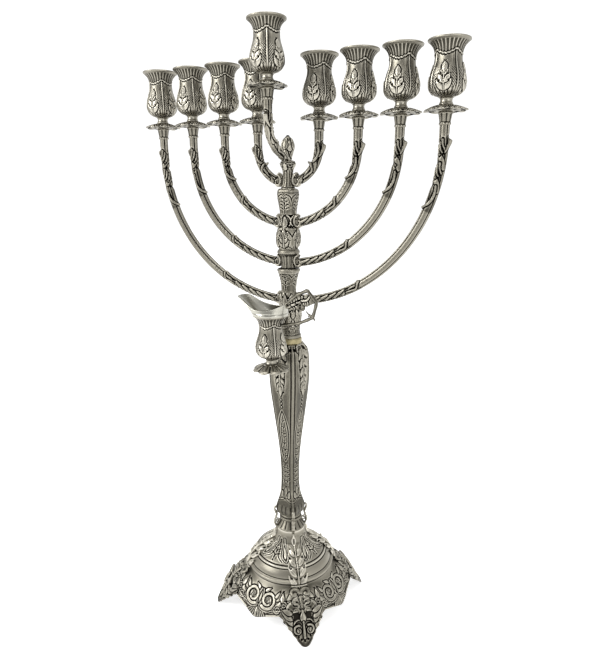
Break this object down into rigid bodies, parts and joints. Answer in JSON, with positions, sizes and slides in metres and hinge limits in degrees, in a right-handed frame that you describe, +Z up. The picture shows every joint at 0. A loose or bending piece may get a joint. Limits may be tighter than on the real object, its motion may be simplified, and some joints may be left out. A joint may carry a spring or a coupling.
{
  "type": "menorah",
  "caption": "Tall ornate silver hanukkiah: curved branches with candle cups, a raised servant light, a hanging oil jug and a footed base.",
  "frame": {"origin": "centre of the base at table level", "axes": "+Z up, +X along the row of branches, -Y towards the servant light and the jug"},
  "size_m": [0.3812, 0.1632, 0.6837],
  "materials": {
    "antique_silver": "cast and chased, dark patina in the recesses",
    "bright_rim": "polished silver plate",
    "raw_brass": "unplated, lightly tarnished",
    "steel_rod": "threaded, zinc grey"
  },
  "bodies": {
    "base": {"base_shell": "antique_silver", "base_leaf_mounts": "antique_silver", "base_feet": "antique_silver", "base_washer": "steel_rod", "base_nut": "steel_rod", "tie_rod": "steel_rod", "lower_knop": "antique_silver", "knop_brackets": "antique_silver", "column": "antique_silver", "screw_collar": "raw_brass"},
    "branch_section": {"stem_socket": "antique_silver", "leaf_knop": "antique_silver", "branch_hub_4": "antique_silver", "engraved_drum": "antique_silver", "branch_hub_3": "antique_silver", "leaf_vase": "antique_silver", "branch_hub_2": "antique_silver", "engraved_urn": "antique_silver", "branch_hub_1": "antique_silver", "bud_finial": "antique_silver", "stem_rod": "steel_rod", "branch_1_left": "antique_silver", "branch_1_right": "antique_silver", "branch_2_left": "antique_silver", "branch_2_right": "antique_silver", "branch_3_left": "antique_silver", "branch_3_right": "antique_silver", "branch_4_left": "antique_silver", "branch_4_right": "antique_silver", "servant_branch": "antique_silver", "ferrules": "antique_silver", "cup_studs": "raw_brass", "jug_hook": "antique_silver"},
    "jug": {"jug_body": "antique_silver", "jug_foot": "antique_silver", "jug_spout_collar": "bright_rim", "jug_handle": "antique_silver", "jug_ring": "antique_silver"},
    "cup_left_1_light": {"cup_left_1": "antique_silver", "pan_left_1": "antique_silver"},
    "cup_right_1_light": {"cup_right_1": "antique_silver", "pan_right_1": "antique_silver"},
    "cup_left_2_light": {"cup_left_2": "antique_silver", "pan_left_2": "antique_silver"},
    "cup_right_2_light": {"cup_right_2": "antique_silver", "pan_right_2": "antique_silver"},
    "cup_left_3_light": {"cup_left_3": "antique_silver", "pan_left_3": "antique_silver"},
    "cup_right_3_light": {"cup_right_3": "antique_silver", "pan_right_3": "antique_silver"},
    "cup_left_4_light": {"cup_left_4": "antique_silver", "pan_left_4": "antique_silver"},
    "cup_right_4_light": {"cup_right_4": "antique_silver", "pan_right_4": "antique_silver"},
    "servant_cup_light": {"cup_servant": "antique_silver", "pan_servant": "antique_silver"}
  },
  "joints": [
    {"name": "branch_section_turn", "type": "hinge", "parent": "base", "child": "branch_section", "pos_m": [0, 0, 0.352], "axis": [0, 0, 1], "continuous": true},
    {"name": "jug_lift", "type": "slide", "parent": "branch_section", "child": "jug", "axis": [0, 0, 1], "range_m": [0, 0.03]},
    {"name": "cup_left_1_turn", "type": "hinge", "parent": "branch_section", "child": "cup_left_1_light", "pos_m": [-0.0373, 0, 0.5924], "axis": [0, 0, 1], "continuous": true},
    {"name": "cup_right_1_turn", "type": "hinge", "parent": "branch_section", "child": "cup_right_1_light", "pos_m": [0.0373, 0, 0.5924], "axis": [0, 0, 1], "continuous": true},
    {"name": "cup_left_2_turn", "type": "hinge", "parent": "branch_section", "child": "cup_left_2_light", "pos_m": [-0.0812, 0, 0.5924], "axis": [0, 0, 1], "continuous": true},
    {"name": "cup_right_2_turn", "type": "hinge", "parent": "branch_section", "child": "cup_right_2_light", "pos_m": [0.0812, 0, 0.5924], "axis": [0, 0, 1], "continuous": true},
    {"name": "cup_left_3_turn", "type": "hinge", "parent": "branch_section", "child": "cup_left_3_light", "pos_m": [-0.1251, 0, 0.5924], "axis": [0, 0, 1], "continuous": true},
    {"name": "cup_right_3_turn", "type": "hinge", "parent": "branch_section", "child": "cup_right_3_light", "pos_m": [0.1251, 0, 0.5924], "axis": [0, 0, 1], "continuous": true},
    {"name": "cup_left_4_turn", "type": "hinge", "parent": "branch_section", "child": "cup_left_4_light", "pos_m": [-0.169, 0, 0.5924], "axis": [0, 0, 1], "continuous": true},
    {"name": "cup_right_4_turn", "type": "hinge", "parent": "branch_section", "child": "cup_right_4_light", "pos_m": [0.169, 0, 0.5924], "axis": [0, 0, 1], "continuous": true},
    {"name": "cup_servant_turn", "type": "hinge", "parent": "branch_section", "child": "servant_cup_light", "pos_m": [0, -0.0437, 0.6202], "axis": [0, 0, 1], "continuous": true}
  ]
}
